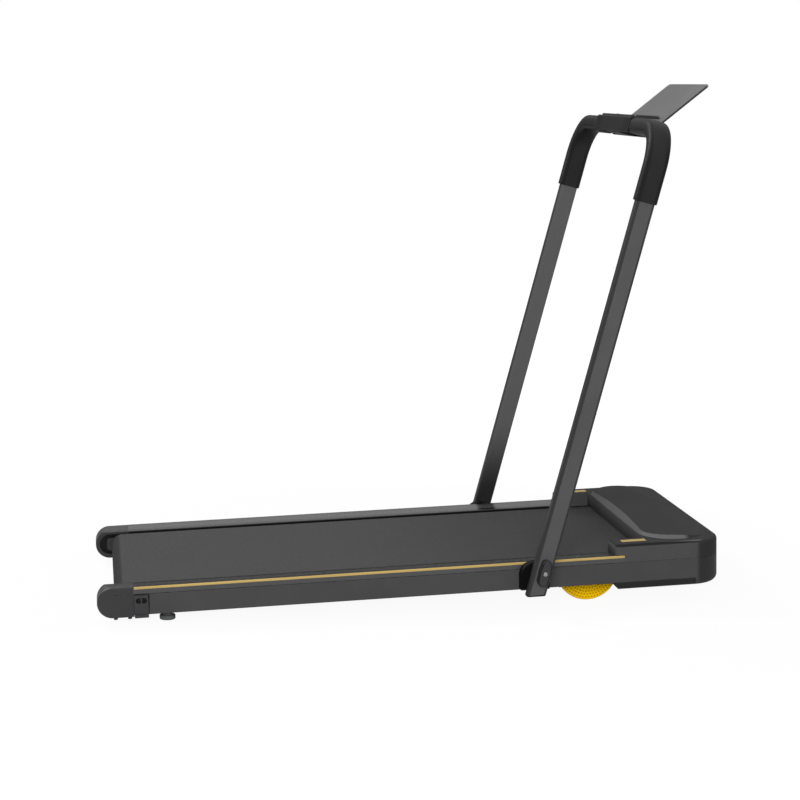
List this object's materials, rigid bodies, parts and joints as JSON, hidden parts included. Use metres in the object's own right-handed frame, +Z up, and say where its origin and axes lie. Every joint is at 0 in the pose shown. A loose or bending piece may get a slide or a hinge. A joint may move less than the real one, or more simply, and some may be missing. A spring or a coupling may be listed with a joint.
{
  "type": "walking pad",
  "caption": "Flat motorised walking deck with a running belt between foot rails, a front motor hood and a folding handrail that carries a console and a tablet plate.",
  "frame": {"origin": "floor level, under the middle of the part's bounding box", "axes": "+X forward from the rear roller to the hood, +Y to the walker's left, +Z up"},
  "size_m": [1.295, 0.6936, 1.0706],
  "materials": {
    "frame_paint": "satin",
    "rail_plastic": "satin",
    "gold_trim": "metallic",
    "belt_fabric": "fine grained",
    "drive_rubber": "matt",
    "board_wood": "sealed",
    "steel": "bright",
    "roller_steel": "turned",
    "pulley_metal": "turned",
    "chassis_steel": "satin",
    "yellow_rubber": "dimpled",
    "black_rubber": "matt",
    "wheel_plastic": "satin",
    "hood_plastic": "satin",
    "pan_plastic": "matt",
    "motor_metal": "satin",
    "rotor_metal": "turned",
    "circuit": "lacquered",
    "inlet_plastic": "satin",
    "rocker_plastic": "gloss",
    "hinge_plastic": "satin",
    "knob_plastic": "satin",
    "tube_paint": "satin",
    "foam": "closed cell",
    "console_plastic": "satin",
    "lid_plastic": "satin",
    "display": "gloss",
    "button_plastic": "satin",
    "tablet_plastic": "satin",
    "ledge_plastic": "satin"
  },
  "bodies": {
    "base": {"side_frame_L": "frame_paint", "side_frame_R": "frame_paint", "rail_cover_L": "rail_plastic", "rail_cover_R": "rail_plastic", "end_cap_L": "rail_plastic", "end_cap_R": "rail_plastic", "rail_stripe_L": "gold_trim", "rail_stripe_R": "gold_trim", "hood_strip_L": "gold_trim", "hood_strip_R": "gold_trim", "running_belt": "belt_fabric", "drive_belt": "drive_rubber", "deck_board": "board_wood", "rear_shaft": "steel", "front_shaft": "steel", "wheel_axles": "steel", "pivot_bolts": "steel", "pan_screws": "steel", "cross_tubes": "chassis_steel", "chassis_plate": "chassis_steel", "motor_bracket": "chassis_steel", "front_foot_L": "yellow_rubber", "front_foot_R": "yellow_rubber", "rear_foot_L": "black_rubber", "rear_foot_R": "black_rubber", "cushions": "black_rubber", "hood_top": "hood_plastic", "hood_lower": "hood_plastic", "belly_pan": "pan_plastic", "motor_body": "motor_metal", "control_board": "circuit", "power_inlet": "inlet_plastic", "hinge_block_L": "hinge_plastic", "hinge_block_R": "hinge_plastic", "adjuster_bracket_L": "hinge_plastic", "adjuster_bracket_R": "hinge_plastic"},
    "handrail": {"handle_tube": "tube_paint", "grip_L": "foam", "grip_R": "foam", "post_plugs": "hinge_plastic", "console_body": "console_plastic", "console_lid": "lid_plastic", "console_clamp": "console_plastic", "display_window": "display", "tablet_pin": "steel"},
    "tablet_holder": {"tablet_plate": "tablet_plastic", "tablet_ledge": "ledge_plastic"},
    "slower_button": {"button_slower": "button_plastic"},
    "start_button": {"button_start": "button_plastic"},
    "faster_button": {"button_faster": "button_plastic"},
    "left_knob": {"clamp_knob_L": "knob_plastic"},
    "right_knob": {"clamp_knob_R": "knob_plastic"},
    "front_drum": {"front_roller": "roller_steel", "roller_pulley": "pulley_metal"},
    "rear_drum": {"rear_roller": "roller_steel"},
    "rotor": {"motor_rotor": "rotor_metal"},
    "rocker": {"rocker_switch": "rocker_plastic"},
    "left_wheel": {"transport_wheel_L": "wheel_plastic"},
    "right_wheel": {"transport_wheel_R": "wheel_plastic"}
  },
  "joints": [
    {"name": "handrail_fold", "type": "hinge", "parent": "base", "child": "handrail", "pos_m": [0.24843, 0, 0.09162], "axis": [0, -1, 0], "range_deg": [0, 105]},
    {"name": "tablet_tilt", "type": "hinge", "parent": "handrail", "child": "tablet_holder", "pos_m": [0.5116, 0, 0.97848], "axis": [0, -1, 0], "range_deg": [0, 38]},
    {"name": "left_knob_turn", "type": "hinge", "parent": "base", "child": "left_knob", "pos_m": [0.24843, 0.28, 0.09162], "axis": [0, 1, 0], "range_deg": [0, 90]},
    {"name": "right_knob_turn", "type": "hinge", "parent": "base", "child": "right_knob", "pos_m": [0.24843, -0.28, 0.09162], "axis": [0, -1, 0], "range_deg": [0, 90]},
    {"name": "front_roller_spin", "type": "hinge", "parent": "base", "child": "front_drum", "pos_m": [0.51691, 0, 0.08069], "axis": [0, 1, 0], "continuous": true},
    {"name": "rear_roller_spin", "type": "hinge", "parent": "base", "child": "rear_drum", "pos_m": [-0.58952, 0, 0.04534], "axis": [0, 1, 0], "continuous": true},
    {"name": "motor_spin", "type": "hinge", "parent": "base", "child": "rotor", "pos_m": [0.58246, 0, 0.09579], "axis": [0, 1, 0], "continuous": true},
    {"name": "rocker_flip", "type": "hinge", "parent": "base", "child": "rocker", "pos_m": [0.64048, 0.17, 0.08063], "axis": [0, 1, 0], "range_deg": [0, 16]},
    {"name": "left_wheel_spin", "type": "hinge", "parent": "base", "child": "left_wheel", "pos_m": [0.56816, 0.215, 0.04231], "axis": [0, 1, 0], "continuous": true},
    {"name": "right_wheel_spin", "type": "hinge", "parent": "base", "child": "right_wheel", "pos_m": [0.56816, -0.215, 0.04231], "axis": [0, 1, 0], "continuous": true},
    {"name": "slower_press", "type": "slide", "parent": "handrail", "child": "slower_button", "axis": [-0.2533, 0, -0.9674], "range_m": [0, 0.0012], "stiffness_N_per_m": 800, "springref_m": -0.0005},
    {"name": "start_press", "type": "slide", "parent": "handrail", "child": "start_button", "axis": [-0.2533, 0, -0.9674], "range_m": [0, 0.0012], "stiffness_N_per_m": 800, "springref_m": -0.0005},
    {"name": "faster_press", "type": "slide", "parent": "handrail", "child": "faster_button", "axis": [-0.2533, 0, -0.9674], "range_m": [0, 0.0012], "stiffness_N_per_m": 800, "springref_m": -0.0005}
  ],
  "couplings": [
    {"joint": "rear_roller_spin", "follows": "front_roller_spin", "ratio": 1},
    {"joint": "motor_spin", "follows": "front_roller_spin", "ratio": 2}
  ]
}
